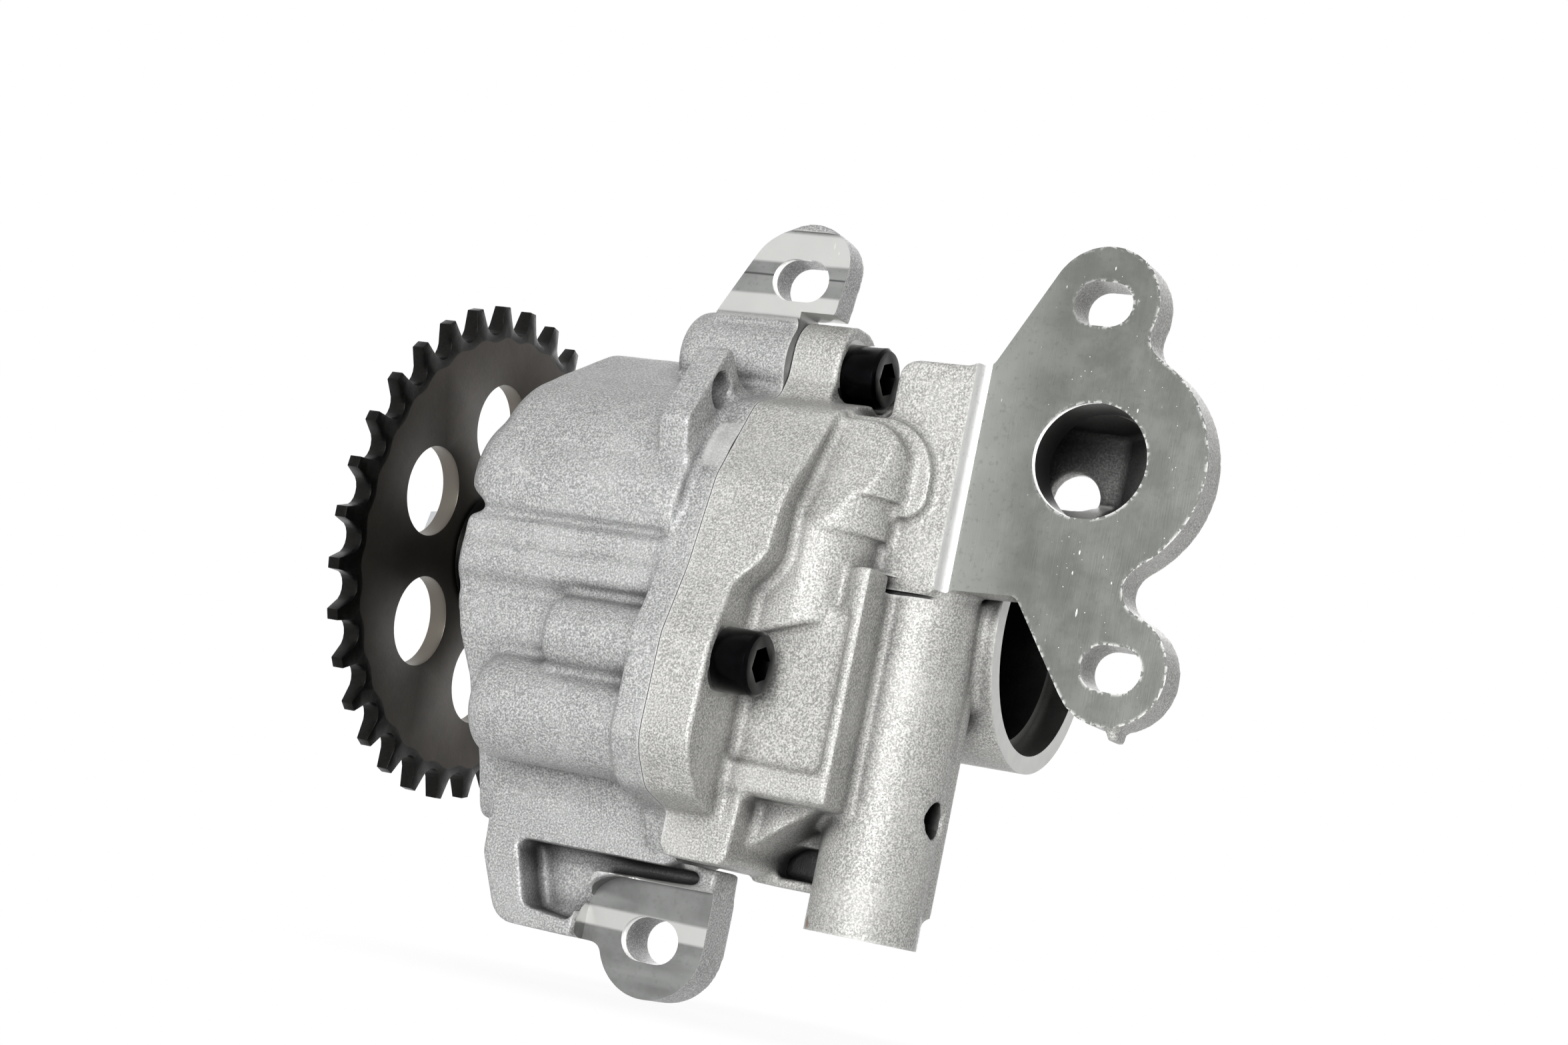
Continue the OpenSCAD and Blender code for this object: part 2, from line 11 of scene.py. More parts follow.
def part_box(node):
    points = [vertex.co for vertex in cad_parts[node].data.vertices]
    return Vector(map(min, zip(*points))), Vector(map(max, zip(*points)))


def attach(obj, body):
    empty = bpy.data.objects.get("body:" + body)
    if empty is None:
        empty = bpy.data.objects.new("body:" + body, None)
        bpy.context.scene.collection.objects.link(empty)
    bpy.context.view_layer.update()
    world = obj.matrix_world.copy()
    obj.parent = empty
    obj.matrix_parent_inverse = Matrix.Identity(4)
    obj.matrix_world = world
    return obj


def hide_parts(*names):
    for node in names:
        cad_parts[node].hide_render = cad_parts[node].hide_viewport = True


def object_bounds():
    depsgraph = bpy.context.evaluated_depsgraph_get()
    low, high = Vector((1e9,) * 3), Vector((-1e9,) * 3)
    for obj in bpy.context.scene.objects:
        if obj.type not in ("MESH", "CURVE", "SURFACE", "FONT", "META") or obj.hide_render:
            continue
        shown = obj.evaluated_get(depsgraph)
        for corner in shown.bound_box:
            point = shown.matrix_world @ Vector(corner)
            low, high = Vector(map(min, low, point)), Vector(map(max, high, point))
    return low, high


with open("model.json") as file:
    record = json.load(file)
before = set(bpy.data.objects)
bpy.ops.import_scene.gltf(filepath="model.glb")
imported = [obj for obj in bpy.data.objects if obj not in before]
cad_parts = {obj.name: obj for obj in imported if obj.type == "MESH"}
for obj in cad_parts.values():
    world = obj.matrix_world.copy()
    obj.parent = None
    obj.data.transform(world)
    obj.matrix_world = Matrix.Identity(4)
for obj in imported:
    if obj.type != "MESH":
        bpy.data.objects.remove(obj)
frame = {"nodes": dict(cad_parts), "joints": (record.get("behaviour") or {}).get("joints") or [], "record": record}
cad_box = [list(corner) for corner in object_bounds()]
scene = bpy.context.scene

# Drawing frame of the pump: millimetres, X along the shaft from the outer side of the sprocket, -Y to the pad
MM = 0.001
JOINTS = {joint["name"]: joint for joint in frame["joints"]}
MOUNTS = {mount["name"]: mount for mount in frame["record"]["mounts"]}
SHAFT = JOINTS["drive_spin"]["pos_m"]
DATUM = Vector((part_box("sprocket")[0].x, SHAFT[1], SHAFT[2]))
TO_FRAME = Matrix.Translation(DATUM) @ Matrix.Scale(MM, 4)


def drawn(point):
    """A point of the row frame, in the drawing frame."""
    return (Vector(point) - DATUM) / MM


def mount_spot(name):
    """A mount's place in the drawing frame."""
    return drawn(MOUNTS[name]["pos_m"])


OUTLET = mount_spot("outlet_port")
OUTLET_AXIS = (OUTLET.x, OUTLET.z)
OUTLET_R = MOUNTS["outlet_port"]["dims"]["r_mm"]
SUCTION = mount_spot("suction_port")
SUCTION_AXIS = (SUCTION.y, SUCTION.z)
SUCTION_R = MOUNTS["suction_port"]["dims"]["r_mm"]
PAD = OUTLET.y

# Stations along the shaft
SPROCKET_FACE = 3.3
NOSE_START = 12.0
NOSE_PLUG_START = 16.2
CHAMBER_START = 30.0
SOFT_NOSE = 37.0
SEAM = 64.0
SEAT = 72.5
BUSH_END = 78.0
SPIGOT_FLOOR = 83.5
FLANGE_EDGE = 97.0
DUCT_END = 97.1
MILLED_EDGE = 98.6
SPIGOT_STEP = 99.0

# Axes along X, as (y, z)
DRIVE_AXIS = (0.0, 0.0)
IDLER_AXIS = tuple(drawn(JOINTS["idler_spin"]["pos_m"]).yz)
COVER_SCREWS = [(-14.0, 35.5), (-37.1, -14.9), (17.0, 19.0), (15.0, -26.0)]
DOWELS = [(-33.6, -27.3), (8.0, 27.0)]
PORT_POCKETS = [(-15.0, 19.0), (-8.0, -11.0)]

# Relief valve axis along Z, as (x, y), and the heights of its tube's end, of its vent and of the bore's top
VALVE = tuple(drawn(sum(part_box("relief_piston"), Vector()) / 2).xy)
VALVE_BOTTOM = -52.0
VENT_HEIGHT = -32.0
VALVE_TOP = -2.0

# Slots milled along Y: middles as (x, z), and width and length
EAR_SLOTS = [tuple(mount_spot(name).xz) for name in ("top_ear_slot", "bottom_ear_slot")]
FLANGE_SLOTS = [tuple(mount_spot(name).xz) for name in ("upper_flange_slot", "lower_flange_slot")]
SLOT = (7.0, 9.6)
SLOT_PLUG = (7.6, 10.2)
EAR_PLUG_DEPTHS = (5.4, 7.4)
FLANGE_PLUG_DEPTH = 6.4

# Radii of the holes
CHAMBER_R = 14.1
CHAMBER_PLUG_R = 14.3
BUSH_R = 7.5
IDLER_R = 5.0
POCKET_R = 6.0
DOWEL_R = 4.0
TAPPED_R = 3.1
SCREW_R = 3.3
SEAT_R = 5.8
SPIGOT_R = 16.3
VALVE_R = 5.5
VALVE_PLUG_R = 6.4
VENT_R = 2.9

# Depths of the holes
IDLER_DEPTH = 6.0
TAPPED_DEPTH = 18.0
POCKET_DEPTH = 12.0
CASE_DOWEL_DEPTH = 6.0
LID_DOWEL_DEPTH = 5.0
SEAT_DEPTH = 6.6
OUTLET_DEPTH = 7.5
VENT_REACH = 14.0

# Sprocket
HUB_R = 10.4
RIM_R = 37.4
TEETH = 32
FIRST_TOOTH = 2.4

# Milled fixing faces of the ears, as heights
TOP_FACE_FOOT = 42.4
TOP_FACE_END = 56.4
LOW_FACE_TOP = -49.4

# How the castings are finished. While they are rounded, plugs that are a little bigger fill the holes
VOXEL = 0.38
FILLET = 0.5
STOCK = 1.5
SINK = 0.4
PLUG_MARGIN = 0.3
PLUG_END = 0.5
SOFT_REACH = 4.0
TRIANGLES = 150000
SHARP_ANGLE = math.radians(34)
BROKEN_ANGLE = math.radians(40)

# Tolerances in millimetres
FLAT_WITHIN = 0.01
SAME_POINT = 0.001
ON_PLANE = 0.0001

# How far a cutter starts outside the metal, and how far it runs into a hole that is already open
CLEAR = 9.0
PAST = 2.0
LAP = 1.0


# Shaders


class Value:
    """A number that varies over the surface, used in plain sums."""

    def __init__(self, tree, socket):
        self.tree = tree
        self.socket = socket

    def math(self, operation, *operands):
        """The Math node of an operation on all its operands."""
        node = self.tree.nodes.new("ShaderNodeMath")
        node.operation = operation
        for entry, operand in zip(node.inputs, operands):
            connect(self.tree, entry, operand)
        return Value(self.tree, node.outputs[0])

    def __add__(self, other):
        return self.math("ADD", self, other)

    def __radd__(self, other):
        return self.math("ADD", other, self)

    def __sub__(self, other):
        return self.math("SUBTRACT", self, other)

    def __rsub__(self, other):
        return self.math("SUBTRACT", other, self)

    def __mul__(self, other):
        return self.math("MULTIPLY", self, other)

    def __rmul__(self, other):
        return self.math("MULTIPLY", other, self)

    def __pow__(self, other):
        return self.math("POWER", self, other)

    def above(self, low, high):
        """0 below low, 1 above high, smooth between them."""
        node = self.tree.nodes.new("ShaderNodeMapRange")
        node.interpolation_type = "SMOOTHSTEP"
        for entry, operand in zip(node.inputs, (self, low, high, 0.0, 1.0)):
            connect(self.tree, entry, operand)
        return Value(self.tree, node.outputs[0])


def connect(tree, entry, operand):
    """Sets a socket to a number, a colour, a value or another socket."""
    if isinstance(operand, Value):
        tree.links.new(operand.socket, entry)
    elif isinstance(operand, bpy.types.NodeSocket):
        tree.links.new(operand, entry)
    else:
        entry.default_value = operand


# Sockets of a Mix node that mixes colours
MIX_FACTOR, MIX_FIRST, MIX_SECOND = 0, 6, 7
MIXED = 2


class Finish:
    """A surface finish under construction. Sizes are in millimetres."""

    def __init__(self, name):
        self.material = bpy.data.materials.new(name)
        self.material.use_nodes = True
        self.tree = self.material.node_tree
        self.shader = self.tree.nodes["Principled BSDF"]
        self.position = self.tree.nodes.new("ShaderNodeTexCoord").outputs["Object"]

    def node(self, kind, settings=None, **sockets):
        node = self.tree.nodes.new(kind)
        for key, value in (settings or {}).items():
            setattr(node, key, value)
        for key, operand in sockets.items():
            connect(self.tree, node.inputs[key.replace("_", " ")], operand)
        return node

    def placed(self, centre=(0, 0, 0), stretch=(1, 1, 1)):
        """Object position in millimetres from a drawing point, divided by stretch."""
        origin = TO_FRAME @ Vector(centre)
        moved = self.node("ShaderNodeVectorMath", {"operation": "SUBTRACT"})
        connect(self.tree, moved.inputs[0], self.position)
        moved.inputs[1].default_value = origin
        scaled = self.node("ShaderNodeVectorMath", {"operation": "MULTIPLY"})
        connect(self.tree, scaled.inputs[0], moved.outputs[0])
        scaled.inputs[1].default_value = [1 / MM / amount for amount in stretch]
        return scaled.outputs[0]

    def axes(self, centre=(0, 0, 0)):
        """x, y and z in millimetres from a drawing point."""
        split = self.node("ShaderNodeSeparateXYZ", Vector=self.placed(centre))
        return [Value(self.tree, socket) for socket in split.outputs]

    def noise(self, size, detail=2.0, stretch=(1, 1, 1), roughness=0.5, distortion=0.0):
        """Soft noise from 0 to 1, with features of about that size."""
        node = self.node(
            "ShaderNodeTexNoise", Vector=self.placed(stretch=stretch), Scale=1 / size,
            Detail=detail, Roughness=roughness, Distortion=distortion,
        )
        return Value(self.tree, node.outputs[0])

    def cells(self, size, place=None):
        """Distance to the nearest of many scattered points, in cells of about that size."""
        place = self.placed() if place is None else place
        node = self.node("ShaderNodeTexVoronoi", Vector=place, Scale=1 / size)
        return Value(self.tree, node.outputs["Distance"])

    def hollow(self, reach, edges=False):
        """How deep a point lies between walls of its own piece: 0 in the open.

        With edges it is how sharp the corner is that the point stands on: 0 on a flat face.
        """
        node = self.node("ShaderNodeAmbientOcclusion", {"only_local": True, "inside": edges, "samples": 6})
        node.inputs["Distance"].default_value = reach * MM
        return 1.0 - Value(self.tree, node.outputs["AO"])

    def mix(self, factor, first, second):
        node = self.node("ShaderNodeMix", {"data_type": "RGBA"})
        connect(self.tree, node.inputs[MIX_FACTOR], factor)
        for index, colour in ((MIX_FIRST, first), (MIX_SECOND, second)):
            connect(self.tree, node.inputs[index], (*colour, 1.0) if isinstance(colour, tuple) else colour)
        return node.outputs[MIXED]

    def coats(self, tone, *layers):
        """A tone under layers of (cover, colour), where a cover of 1 hides what is below."""
        for cover, colour in layers:
            tone = self.mix(cover, tone, colour)
        return tone

    def bump(self, height, depth, strength):
        """Normal from a height of 0 to 1 that is depth millimetres deep."""
        node = self.node("ShaderNodeBump", Strength=strength, Distance=depth * MM, Height=height)
        return node.outputs[0]

    def done(self, **sockets):
        for key, operand in sockets.items():
            connect(self.tree, self.shader.inputs[key.replace("_", " ")], operand)
        return self.material


def shade(colour, amount):
    """A colour made darker or lighter."""
    return tuple(min(1.0, amount * part) for part in colour)


RUST = [((58.6, -33.5, 21.7), 1.1), ((62.6, -34.0, 21.6), 0.8), ((85.4, -19.4, -50.9), 1.3)]
RUST_BROWN = (0.2, 0.1, 0.045)
PAINTED_GLINT = (0.9, 0.9, 0.88)
EDGE_HIGHLIGHT = (0.75, 0.75, 0.73)
UNLIT = (0.006, 0.006, 0.007)
PAINTED_REFLECTION_TRACK = (0.58, 0.58, 0.565)
SCRATCH = (0.93, 0.93, 0.91)


def rust_spots(finish, ragged):
    """Layers of small rust spots with ragged borders."""
    layers = []
    for spot, radius in RUST:
        x, y, z = finish.axes(spot)
        away = (x * x + y * y + z * z) ** 0.5 + (ragged - 0.5) * radius * 1.6
        layers.append(((1.0 - away.above(radius * 0.5, radius)) * 0.75, RUST_BROWN))
    return layers


def cast_aluminium(name, base):
    """Shot blasted die casting: salt and pepper grain over soft patches, with painted glints, painted shade in
    corners and deep bores and painted highlights on sharp edges.
    """
    finish = Finish(name)
    grain = finish.noise(0.3, detail=3.0, roughness=0.66)
    coarse = finish.noise(1.4)
    patches = finish.noise(10.0, detail=3.0, distortion=0.6)
    # Painted glints: near white specks in the grain, where the roughness is also lower
    glint = grain.above(0.56, 0.66)
    pits = 1.0 - finish.cells(2.3).above(0.04, 0.13)
    # Painted shade: the colour goes nearly black in corners and hollows
    corners = finish.hollow(5.0).above(0.06, 0.5)
    # Painted shade: deep inside bores the colour goes black
    painted_bore_shade = finish.hollow(40.0).above(0.62, 0.86)
    # Painted highlight: sharp edges are lighter
    edges = finish.hollow(0.9, edges=True).above(0.14, 0.5)
    tone = finish.coats(
        shade(base, 0.5),
        (grain.above(0.38, 0.6), shade(base, 1.16)),
        (patches.above(0.4, 0.75) * 0.3, shade(base, 1.3)),
        (coarse.above(0.5, 0.75) * 0.25, shade(base, 0.66)),
        (glint * 0.45, PAINTED_GLINT),
        (pits * 0.3, shade(base, 0.3)),
        *rust_spots(finish, coarse),
        # Painted shade in corners and deep bores, then a painted highlight on sharp edges
        (corners * 0.9, shade(base, 0.08)),
        (painted_bore_shade, UNLIT),
        (edges * 0.5, EDGE_HIGHLIGHT),
    )
    return finish.done(
        Base_Color=tone, Metallic=0.18, Roughness=0.4 - glint * 0.14 + patches * 0.06,
        Normal=finish.bump(grain * 0.8 + coarse * 0.4, 0.12, 0.8),
    )


def strokes(finish, size, turn, stretch):
    """Fine short scratches that lie one way."""
    spread = finish.node("ShaderNodeMapping", Vector=finish.placed(), Rotation=(0.0, math.radians(turn), 0.0))
    spread.inputs["Scale"].default_value = (1.0, 1.0, 1 / stretch)
    return 1.0 - finish.cells(size, spread.outputs[0]).above(0.03, 0.09)


def between(value, low, high, soft=0.3):
    """1 where a value lies between two limits, with soft borders."""
    return value.above(low - soft, low + soft) * (1.0 - value.above(high - soft, high + soft))


def milled_aluminium(name, base, along, reflection_banding=0.25, lay=14.0, reflection_tracks=(), lines_at=()):
    """Milled face with a directional lay, clouds, faint painted reflection bands and small bright scratches.

    Reflection tracks are painted reflection stripes of the cutter passes and lines_at dark lines between them, as
    heights in the drawing.
    """
    finish = Finish(name)
    x, _, z = finish.axes()
    lines = finish.noise(0.22, stretch=tuple(lay if axis == along else 1.0 for axis in "xyz"))
    bands = finish.noise(3.6, stretch=tuple(7.0 if axis == along else 1.0 for axis in "xyz"))
    clouds = finish.noise(6.0, detail=4.0, roughness=0.6)
    speck = finish.noise(0.7)
    worn_side = x.above(106, 116)
    wear = finish.noise(5.0).above(0.46, 0.6) * (0.3 + 0.7 * worn_side)
    dents = 1.0 - finish.cells(1.1).above(0.04, 0.09)
    scratches = strokes(finish, 1.7, 35, 3.0) * wear + strokes(finish, 2.2, -50, 5.0) * wear + dents * wear
    nicked = finish.hollow(0.7, edges=True).above(0.1, 0.4) * speck.above(0.46, 0.56) * worn_side * 0.6
    marks = scratches.math("MAXIMUM", scratches.above(0.05, 0.6), nicked)
    # Painted light: the flange is lighter beside the duct
    painted_light_beside_duct = (1.0 - x.above(97, 112)) * x.above(90, 91)
    height = z + (bands - 0.5) * 0.8
    tone = finish.coats(
        shade(base, 0.86),
        (clouds.above(0.32, 0.68), shade(base, 1.14)),
        # Painted reflection: faint lighter bands along the lay
        (bands.above(0.42, 0.7) * reflection_banding, shade(base, 1.6)),
        (painted_light_beside_duct * 0.7, shade(base, 2.2)),
        (speck.above(0.56, 0.74) * 0.3, shade(base, 0.7)),
        # Painted reflection: bright stripes of the cutter passes
        *[(between(height, low, high) * 0.9, PAINTED_REFLECTION_TRACK) for low, high in reflection_tracks],
        *[(between(height, level - 0.15, level + 0.15, soft=0.12), shade(base, 0.35)) for level in lines_at],
        (marks * 0.85, SCRATCH),
    )
    return finish.done(
        Base_Color=tone, Metallic=0.6, Roughness=0.36 + clouds * 0.1 - bands * 0.08,
        Normal=finish.bump(lines * 0.6 - marks, 0.03, 0.6),
    )


def black_oxide(name):
    """Blackened steel, slightly mottled."""
    finish = Finish(name)
    mottle = finish.noise(1.6, detail=3.0)
    fine = finish.noise(0.3)
    return finish.done(
        Base_Color=finish.mix(mottle, (0.001, 0.001, 0.001), (0.005, 0.005, 0.006)), Metallic=0.97,
        Roughness=0.18 + mottle * 0.1, Normal=finish.bump(fine, 0.02, 0.4),
    )


def ground_steel(name, low=(0.5, 0.5, 0.5), high=(0.72, 0.72, 0.71), roughness=0.24, gloom=0.0):
    """Ground or bored metal. Gloom is painted shade that darkens it where the bore is deep."""
    finish = Finish(name)
    lines = finish.noise(0.15, stretch=(1.0, 10.0, 10.0))
    clouds = finish.noise(4.0, detail=3.0)
    tone = finish.mix(clouds, low, high)
    if gloom:
        # Painted shade: near black deep in the bore
        tone = finish.mix(finish.hollow(40.0).above(0.3, 0.75) * gloom, tone, (0.004, 0.004, 0.005))
    return finish.done(
        Base_Color=tone, Metallic=1.0, Roughness=roughness + lines * 0.14,
        Normal=finish.bump(lines, 0.01, 0.5),
    )


def blackened_disc(name):
    """Sprocket finish: brown grey ground face inside a scalloped edge, black teeth and hub."""
    finish = Finish(name)
    x, y, z = finish.axes()
    radius = (y * y + z * z) ** 0.5
    angle = z.math("ARCTAN2", z, y)
    scallop = z.math("COSINE", (angle - math.radians(FIRST_TOOTH)) * float(TEETH))
    clouds = finish.noise(6.0, detail=4.0, roughness=0.6)
    grain = finish.noise(0.5, detail=3.0)
    inside = 1.0 - (radius - scallop * 0.35 + clouds * 0.5).above(RIM_R, RIM_R + 0.35)
    beyond_hub = radius.above(HUB_R + 0.2, HUB_R + 1.6)
    on_face = 1.0 - z.math("ABSOLUTE", x - SPROCKET_FACE).above(0.02, 0.06)
    face = inside * on_face * beyond_hub
    web = (1.0 - radius.above(RIM_R - 1.5, RIM_R - 1.0)) * radius.above(HUB_R + 0.5, HUB_R + 0.8)
    tone = finish.coats(
        finish.mix(grain, (0.006, 0.006, 0.006), (0.016, 0.015, 0.014)),
        (face, finish.mix(clouds, (0.034, 0.03, 0.026), (0.07, 0.061, 0.052))),
        ((1.0 - on_face) * web, (0.15, 0.135, 0.115)),
    )
    return finish.done(
        Base_Color=tone, Metallic=0.9, Roughness=0.3 + face * 0.2 + grain * 0.08,
        Normal=finish.bump(grain + clouds, 0.03, 0.5),
    )


def plain_metal(name, low, high, roughness):
    """Finely grained metal for the small parts."""
    finish = Finish(name)
    grain = finish.noise(0.4, detail=3.0)
    return finish.done(
        Base_Color=finish.mix(grain, low, high), Metallic=1.0, Roughness=roughness + grain * 0.1,
        Normal=finish.bump(grain, 0.02, 0.4),
    )


# Shapes, drawn in millimetres

# Turns that lay a circle across an axis
ACROSS = {
    "x": Matrix.Rotation(math.radians(90), 4, "Y"),
    "y": Matrix.Rotation(math.radians(90), 4, "X"),
    "z": Matrix.Identity(4),
}


def in_space(spot, axis, level):
    """Puts a flat spot at a level along an axis: (y, z) for x, (x, z) for y, (x, y) for z."""
    index = "xyz".index(axis)
    return Vector((*spot[:index], level, *spot[index:]))


def draw_out(bm, faces, axis, distance):
    """Extrudes faces along an axis."""
    grown = bmesh.ops.extrude_face_region(bm, geom=faces)
    moved = [item for item in grown["geom"] if isinstance(item, bmesh.types.BMVert)]
    bmesh.ops.translate(bm, verts=moved, vec=[distance if name == axis else 0.0 for name in "xyz"])


def outline_prism(bm, corners, axis, low, high):
    """Extrudes an outline of flat corners along an axis."""
    face = bm.faces.new([bm.verts.new(in_space(corner, axis, low)) for corner in corners])
    draw_out(bm, [face], axis, high - low)


def rectangle(left, foot, right, top):
    """Corners of a rectangle."""
    return [(left, foot), (right, foot), (right, top), (left, top)]


def arc(centre, radius, start, end, steps=16):
    """Points on an arc between two angles in degrees."""
    angles = [math.radians(start + (end - start) * step / steps) for step in range(steps + 1)]
    return [(centre[0] + radius * math.cos(a), centre[1] + radius * math.sin(a)) for a in angles]


def rod(bm, centre, radius, axis, low, high, sides=72):
    """Round bar along an axis."""
    place = Matrix.Translation(in_space(centre, axis, low)) @ ACROSS[axis]
    ring = bmesh.ops.create_circle(bm, cap_ends=True, segments=sides, radius=radius, matrix=place)
    draw_out(bm, ring["verts"][0].link_faces[:], axis, high - low)


def slot(bm, centre, width, length, low, high):
    """Bar along Y with round ends in X, for a slot."""
    reach = (length - width) / 2
    right = arc((centre[0] + reach, centre[1]), width / 2, -90, 90)
    left = arc((centre[0] - reach, centre[1]), width / 2, 90, 270)
    outline_prism(bm, right + left, "y", low, high)


def to_object(bm, name, materials=(), material_index=0):
    """Puts a drawn shape in its place as an object."""
    bmesh.ops.recalc_face_normals(bm, faces=bm.faces)
    bmesh.ops.transform(bm, matrix=TO_FRAME, verts=bm.verts)
    for face in bm.faces:
        face.material_index = material_index
    mesh = bpy.data.meshes.new(name)
    bm.to_mesh(mesh)
    bm.free()
    for material in materials:
        mesh.materials.append(material)
    piece = bpy.data.objects.new(name, mesh)
    bpy.context.collection.objects.link(piece)
    return piece


def bake(piece):
    """Turns a piece's modifiers into its mesh."""
    graph = bpy.context.evaluated_depsgraph_get()
    mesh = bpy.data.meshes.new_from_object(piece.evaluated_get(graph))
    piece.modifiers.clear()
    piece.data = mesh


def modify(piece, kind, **settings):
    """Adds a modifier."""
    modifier = piece.modifiers.new(kind.lower(), kind)
    for key, value in settings.items():
        setattr(modifier, key, value)


def cut(piece, tools):
    """Cuts the tools out of a piece. A cut face takes the piece's material that has the tool's number."""
    for tool in tools:
        for material in piece.data.materials:
            tool.data.materials.append(material)
        modify(
            piece, "BOOLEAN", object=tool, operation="DIFFERENCE", solver="MANIFOLD", material_mode="INDEX",
        )
        bake(piece)
        bpy.data.objects.remove(tool)


def merged_copy(node):
    """The node's solid with its loose triangles joined, in the drawing frame."""
    bm = bmesh.new()
    bm.from_mesh(frame["nodes"][node].data)
    bmesh.ops.transform(bm, matrix=TO_FRAME.inverted(), verts=bm.verts)
    bmesh.ops.remove_doubles(bm, verts=bm.verts, dist=SAME_POINT)
    return bm


def raise_stock(bm, axis, level, distance, wanted=lambda middle: True):
    """Draws flat faces at a level outwards, to leave metal for the cutter or to sink into a neighbour."""
    index = "xyz".index(axis)

    def at_level(face):
        return all(abs(vert.co[index] - level) < FLAT_WITHIN for vert in face.verts)

    faces = [face for face in bm.faces if at_level(face) and wanted(face.calc_center_median())]
    draw_out(bm, faces, axis, distance)


def split_at(bm, height):
    """Parts the faces of a solid at a height."""
    everything = bm.verts[:] + bm.edges[:] + bm.faces[:]
    bmesh.ops.bisect_plane(bm, geom=everything, dist=ON_PLANE, plane_co=(0, 0, height), plane_no=(0, 0, 1))


def soften_below(piece, station):
    """Rounds a casting's end further, in front of a station along the shaft."""
    along = [(vert.co.x - DATUM.x) / MM for vert in piece.data.vertices]
    group = piece.vertex_groups.new(name="soft")
    for share in (0.25, 0.5, 0.75, 1.0):
        limit = station - share * SOFT_REACH
        group.add([index for index, x in enumerate(along) if x < limit], share, "REPLACE")
    modify(piece, "SMOOTH", factor=0.5, iterations=30, vertex_group="soft")
    bake(piece)
    piece.vertex_groups.clear()


def round_as_cast(piece, soft_station=None):
    """Gives the piece the fillets and soft edges of a casting."""
    for distance in (FILLET, -FILLET):
        modify(piece, "REMESH", mode="VOXEL", voxel_size=VOXEL * MM)
        modify(piece, "DISPLACE", strength=distance * MM, mid_level=0.0, direction="NORMAL")
    modify(piece, "REMESH", mode="VOXEL", voxel_size=VOXEL * MM)
    modify(piece, "SMOOTH", factor=0.5, iterations=2)
    bake(piece)
    if soft_station:
        soften_below(piece, soft_station)
    count = sum(len(face.vertices) - 2 for face in piece.data.polygons)
    modify(piece, "DECIMATE", ratio=min(1.0, TRIANGLES / count))
    bake(piece)


def set_edges(piece):
    """Smooth faces with crisp edges where the surface turns sharply."""
    bm = bmesh.new()
    bm.from_mesh(piece.data)
    for face in bm.faces:
        face.smooth = True
    for edge in bm.edges:
        edge.smooth = not (edge.is_manifold and edge.calc_face_angle() > SHARP_ANGLE)
    bm.to_mesh(piece.data)
    bm.free()


def stand_for(piece, nodes, body):
    """Finishes a piece and lets it take the place of CAD nodes."""
    set_edges(piece)
    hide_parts(*nodes)
    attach(piece, body)


# Finishes

CAST_CASE = cast_aluminium("cast_case", (0.48, 0.485, 0.48))
CAST_COVER = cast_aluminium("cast_cover", (0.54, 0.535, 0.515))
MILLED = milled_aluminium("milled_pad", (0.135, 0.141, 0.13), "z")
# The ears' milled faces carry painted reflection bands and stripes
MILLED_EAR = milled_aluminium(
    "milled_ear", (0.2, 0.205, 0.2), "x", reflection_banding=0.6, lay=20.0,
    reflection_tracks=[(42.7, 46.2), (51.5, 56.6), (-58.0, -55.0)], lines_at=[49.4],
)
# Painted highlight: near white milled metal for cut faces that show a highlight
PAINTED_HIGHLIGHT = milled_aluminium("fresh_cut", (0.76, 0.76, 0.75), "z")
TURNED = ground_steel("turned_bore", (0.42, 0.42, 0.41), (0.6, 0.6, 0.58), roughness=0.3, gloom=1.0)
BLACK = black_oxide("black_screw")
DISC = blackened_disc("sprocket_black")
STEEL = ground_steel("shaft_steel")
ZINC = plain_metal("zinc_plate", (0.5, 0.51, 0.52), (0.66, 0.67, 0.68), roughness=0.32)
SINTERED = plain_metal("sintered_gear", (0.3, 0.3, 0.31), (0.42, 0.42, 0.43), roughness=0.42)
BRONZE = plain_metal("bush_bronze", (0.5, 0.36, 0.2), (0.66, 0.48, 0.27), roughness=0.34)
WIRE = plain_metal("spring_wire", (0.4, 0.4, 0.4), (0.55, 0.55, 0.55), roughness=0.28)

# Places of the finishes among a casting's materials; the last is the painted highlight
CAST_INDEX, MILLED_INDEX, BORED_INDEX, HIGHLIGHT_INDEX = range(4)


def cutter(name, index, draw, *where):
    """A cutting shape drawn by draw(bm, *where). What it cuts gets the casting's finish at that index."""
    bm = bmesh.new()
    draw(bm, *where)
    return to_object(bm, name, material_index=index)


def drills(name, centres, radius, start, end):
    """Cutters for round holes of one size along X."""
    return [cutter(name, BORED_INDEX, rod, centre, radius, "x", start, end) for centre in centres]


# Gear case


def on_ears(spot):
    """Whether a spot of the case's front belongs to a fixing face of an ear."""
    return spot.z < LOW_FACE_TOP or TOP_FACE_FOOT < spot.z < TOP_FACE_END


